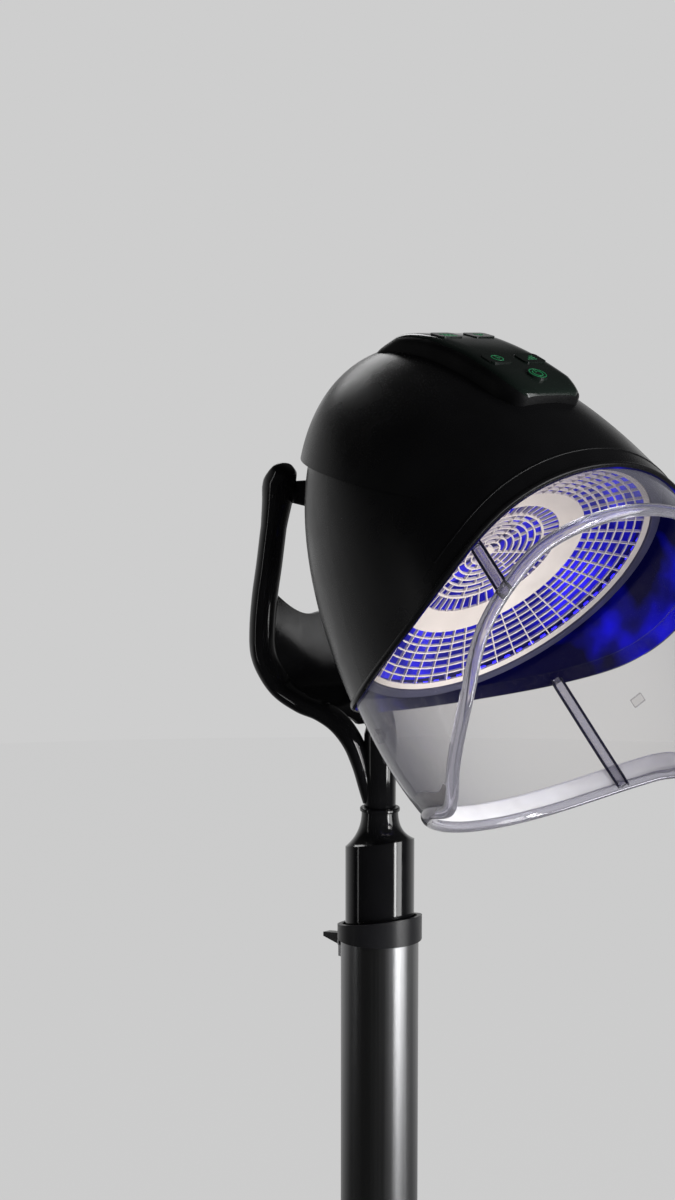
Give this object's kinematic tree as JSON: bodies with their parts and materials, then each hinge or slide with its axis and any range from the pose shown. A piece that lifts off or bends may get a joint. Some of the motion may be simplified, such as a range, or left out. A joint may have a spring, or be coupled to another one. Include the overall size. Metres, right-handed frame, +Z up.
{
  "type": "hood hair dryer",
  "caption": "Standing hood hair dryer: domed black hood with clear visor, blowing warm air down through a grille, tilting on an arm over a height-adjusting column on castors.",
  "frame": {"origin": "on the floor under the column's axis", "axes": "+Z up along the column, -Y towards the open front of the hood, X across the hood"},
  "size_m": [0.5856, 0.5723, 1.4363],
  "materials": {
    "leg_aluminium": "satin dark grey casting",
    "caster_plastic": "matte black",
    "caster_tyre": "soft dark tread",
    "column_metal": "satin black paint",
    "black_plastic": "matte black",
    "steel": "bright",
    "lever_metal": "satin black",
    "gas_paint": "semi-gloss black",
    "sleeve_gloss": "glossy black",
    "web_satin": "semi-gloss black",
    "bronze": "oiled",
    "shell_gloss": "glossy black",
    "clear_visor": "clear acrylic",
    "liner_aluminium": "spun sheet",
    "cream_plastic": "fine matte",
    "led_strip": "translucent",
    "mica": "flaky sheet",
    "heater_wire": "oxidised",
    "console_matte": "fine matte black",
    "console_gloss": "glossy dark grey",
    "board_green": "solder mask"
  },
  "bodies": {
    "base": {"base_hub": "leg_aluminium", "base_leg_1": "leg_aluminium", "base_leg_2": "leg_aluminium", "base_leg_3": "leg_aluminium", "base_leg_4": "leg_aluminium", "base_leg_5": "leg_aluminium", "lower_column": "column_metal", "column_collar": "column_metal", "guide_bush": "black_plastic", "lever_block": "black_plastic", "lever_pin": "steel", "lever_springs": "steel", "cable_gland": "black_plastic", "gas_cylinder": "gas_paint"},
    "lever": {"height_lever": "lever_metal"},
    "lift": {"upper_sleeve": "sleeve_gloss", "gas_rod": "steel", "neck_ring": "steel", "swivel_spigot": "steel"},
    "arm": {"bow_arm": "sleeve_gloss", "bow_web": "web_satin", "hinge_pin": "steel", "hinge_spacers": "steel"},
    "hood": {"hinge_bracket": "black_plastic", "hinge_bushes": "bronze", "top_shell": "shell_gloss", "intake_grille": "black_plastic", "visor": "clear_visor", "visor_rim": "clear_visor", "visor_clips": "steel", "air_liner": "liner_aluminium", "liner_flange": "black_plastic", "grille_ring": "black_plastic", "diffuser_grille": "cream_plastic", "led_ring": "led_strip", "heater_frame": "mica", "heater_coils": "heater_wire", "motor_bracket": "liner_aluminium", "motor": "liner_aluminium", "ion_unit": "black_plastic", "panel_housing": "console_matte", "panel_cover": "console_gloss", "control_board": "board_green"},
    "fan": {"motor_shaft": "steel", "impeller": "black_plastic"},
    "key_heat": {"key_heat": "console_gloss"},
    "key_air": {"key_air": "console_gloss"},
    "key_timer": {"key_timer": "console_gloss"},
    "key_mode": {"key_mode": "console_gloss"},
    "key_power": {"key_power": "console_gloss"},
    "caster_1": {"caster_fork_1": "caster_plastic"},
    "wheels_1": {"caster_wheels_1": "caster_tyre"},
    "caster_2": {"caster_fork_2": "caster_plastic"},
    "wheels_2": {"caster_wheels_2": "caster_tyre"},
    "caster_3": {"caster_fork_3": "caster_plastic"},
    "wheels_3": {"caster_wheels_3": "caster_tyre"},
    "caster_4": {"caster_fork_4": "caster_plastic"},
    "wheels_4": {"caster_wheels_4": "caster_tyre"},
    "caster_5": {"caster_fork_5": "caster_plastic"},
    "wheels_5": {"caster_wheels_5": "caster_tyre"}
  },
  "joints": [
    {"name": "column_slide", "type": "slide", "parent": "base", "child": "lift", "axis": [0, 0, 1], "range_m": [-0.04, 0.22]},
    {"name": "lever_pivot", "type": "hinge", "parent": "base", "child": "lever", "pos_m": [0, 0.043, 0.882], "axis": [1, 0, 0], "range_deg": [0, 20], "stiffness_Nm_per_rad": 0.3, "springref_deg": -11.46},
    {"name": "neck_swivel", "type": "hinge", "parent": "lift", "child": "arm", "pos_m": [0, 0, 1.05], "axis": [0, 0, 1], "range_deg": [-170, 170]},
    {"name": "hood_tilt", "type": "hinge", "parent": "arm", "child": "hood", "pos_m": [0, 0.076, 1.293], "axis": [-1, 0, 0], "range_deg": [-10, 30]},
    {"name": "fan_spin", "type": "hinge", "parent": "hood", "child": "fan", "pos_m": [0, -0.08833, 1.30099], "axis": [0, 0.7193, 0.6947], "continuous": true},
    {"name": "key_heat_press", "type": "slide", "parent": "hood", "child": "key_heat", "axis": [0, 0.1804, -0.9836], "range_m": [0, 0.0008], "stiffness_N_per_m": 900},
    {"name": "key_air_press", "type": "slide", "parent": "hood", "child": "key_air", "axis": [0, 0.1804, -0.9836], "range_m": [0, 0.0008], "stiffness_N_per_m": 900},
    {"name": "key_timer_press", "type": "slide", "parent": "hood", "child": "key_timer", "axis": [0, 0.3733, -0.9277], "range_m": [0, 0.0008], "stiffness_N_per_m": 900},
    {"name": "key_mode_press", "type": "slide", "parent": "hood", "child": "key_mode", "axis": [0, 0.3733, -0.9277], "range_m": [0, 0.0008], "stiffness_N_per_m": 900},
    {"name": "key_power_press", "type": "slide", "parent": "hood", "child": "key_power", "axis": [0, 0.4388, -0.8986], "range_m": [0, 0.0008], "stiffness_N_per_m": 900},
    {"name": "caster_swivel_1", "type": "hinge", "parent": "base", "child": "caster_1", "pos_m": [0, -0.29, 0.065], "axis": [0, 0, 1], "continuous": true},
    {"name": "wheel_spin_1", "type": "hinge", "parent": "caster_1", "child": "wheels_1", "pos_m": [0, -0.272, 0.025], "axis": [1, 0, 0], "continuous": true},
    {"name": "caster_swivel_2", "type": "hinge", "parent": "base", "child": "caster_2", "pos_m": [0.27581, -0.08962, 0.065], "axis": [0, 0, 1], "continuous": true},
    {"name": "wheel_spin_2", "type": "hinge", "parent": "caster_2", "child": "wheels_2", "pos_m": [0.25869, -0.08405, 0.025], "axis": [0.309, 0.9511, 0], "continuous": true},
    {"name": "caster_swivel_3", "type": "hinge", "parent": "base", "child": "caster_3", "pos_m": [0.17046, 0.23461, 0.065], "axis": [0, 0, 1], "continuous": true},
    {"name": "wheel_spin_3", "type": "hinge", "parent": "caster_3", "child": "wheels_3", "pos_m": [0.15988, 0.22005, 0.025], "axis": [-0.809, 0.5878, 0], "continuous": true},
    {"name": "caster_swivel_4", "type": "hinge", "parent": "base", "child": "caster_4", "pos_m": [-0.17046, 0.23461, 0.065], "axis": [0, 0, 1], "continuous": true},
    {"name": "wheel_spin_4", "type": "hinge", "parent": "caster_4", "child": "wheels_4", "pos_m": [-0.15988, 0.22005, 0.025], "axis": [-0.809, -0.5878, 0], "continuous": true},
    {"name": "caster_swivel_5", "type": "hinge", "parent": "base", "child": "caster_5", "pos_m": [-0.27581, -0.08962, 0.065], "axis": [0, 0, 1], "continuous": true},
    {"name": "wheel_spin_5", "type": "hinge", "parent": "caster_5", "child": "wheels_5", "pos_m": [-0.25869, -0.08405, 0.025], "axis": [0.309, -0.9511, 0], "continuous": true}
  ]
}
